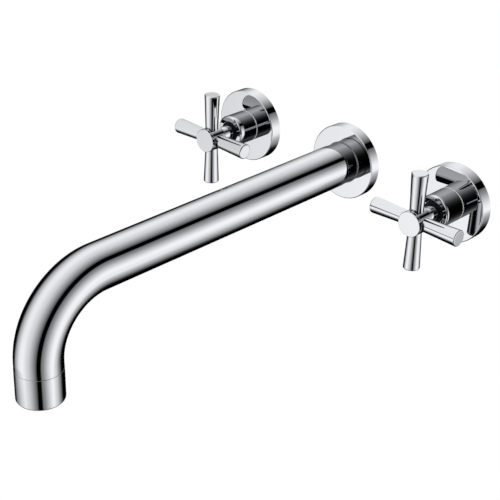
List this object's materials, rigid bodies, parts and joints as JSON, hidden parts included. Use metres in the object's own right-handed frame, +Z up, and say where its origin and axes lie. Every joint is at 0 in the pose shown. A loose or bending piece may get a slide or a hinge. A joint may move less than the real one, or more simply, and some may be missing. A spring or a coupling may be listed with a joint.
{
  "type": "wall mount tub faucet",
  "caption": "Wall mount tub faucet in polished chrome with cross handles on round flanges, quarter-turn valves and a long spout bent straight down to its outlet.",
  "frame": {"origin": "where the spout's axis meets the finished wall, in the middle of the back of the spout's flange", "axes": "+Z up, +Y into the wall, +X to the right for someone facing the wall; the spout reaches out along -Y"},
  "size_m": [0.2772, 0.3904, 0.1144],
  "materials": {
    "chrome": "polished chrome plate",
    "brass": "plain machined brass",
    "copper": "drawn copper tube",
    "stainless": "plain stainless steel",
    "zinc_plate": "galvanised sheet",
    "rubber": "black nitrile rubber",
    "foam": "closed-cell foam",
    "ceramic": "lapped alumina",
    "plastic": "moulded acetal"
  },
  "bodies": {
    "wall_set": {"spout_tube": "chrome", "spout_collar": "chrome", "spout_socket": "brass", "spout_flange": "chrome", "spout_flange_gasket": "foam", "spout_flange_oring": "rubber", "spout_trim_ring": "plastic", "spout_nipple": "brass", "nipple_orings": "rubber", "spout_set_screw": "stainless", "spout_tee": "brass", "aerator_housing": "chrome", "aerator_washer": "rubber", "aerator_mesh": "stainless", "aerator_insert": "plastic", "mounting_plate": "zinc_plate", "plate_screws": "stainless", "hot_flange": "chrome", "hot_flange_gasket": "foam", "hot_sleeve": "chrome", "hot_sleeve_washer": "plastic", "hot_dust_seal": "rubber", "hot_cartridge_bonnet": "brass", "hot_bonnet_oring": "rubber", "hot_thrust_washer": "plastic", "hot_fixed_disc": "ceramic", "hot_seat_seal": "rubber", "hot_valve_body": "brass", "hot_crossover_tube": "copper", "cold_flange": "chrome", "cold_flange_gasket": "foam", "cold_sleeve": "chrome", "cold_sleeve_washer": "plastic", "cold_dust_seal": "rubber", "cold_cartridge_bonnet": "brass", "cold_bonnet_oring": "rubber", "cold_thrust_washer": "plastic", "cold_fixed_disc": "ceramic", "cold_seat_seal": "rubber", "cold_valve_body": "brass", "cold_crossover_tube": "copper"},
    "hot_handle": {"hot_handle_hub": "chrome", "hot_arm_top": "chrome", "hot_arm_right": "chrome", "hot_arm_bottom": "chrome", "hot_arm_left": "chrome", "hot_index_cap": "chrome", "hot_cap_oring": "rubber", "hot_handle_screw": "stainless", "hot_spindle": "brass", "hot_spindle_orings": "rubber", "hot_spindle_clip": "stainless", "hot_moving_disc": "ceramic"},
    "cold_handle": {"cold_handle_hub": "chrome", "cold_arm_top": "chrome", "cold_arm_right": "chrome", "cold_arm_bottom": "chrome", "cold_arm_left": "chrome", "cold_index_cap": "chrome", "cold_cap_oring": "rubber", "cold_handle_screw": "stainless", "cold_spindle": "brass", "cold_spindle_orings": "rubber", "cold_spindle_clip": "stainless", "cold_moving_disc": "ceramic"}
  },
  "joints": [
    {"name": "hot_turn", "type": "hinge", "parent": "wall_set", "child": "hot_handle", "pos_m": [-0.1016, 0, 0], "axis": [0, -1, 0], "range_deg": [0, 90]},
    {"name": "cold_turn", "type": "hinge", "parent": "wall_set", "child": "cold_handle", "pos_m": [0.1016, 0, 0], "axis": [0, -1, 0], "range_deg": [-90, 0]}
  ]
}
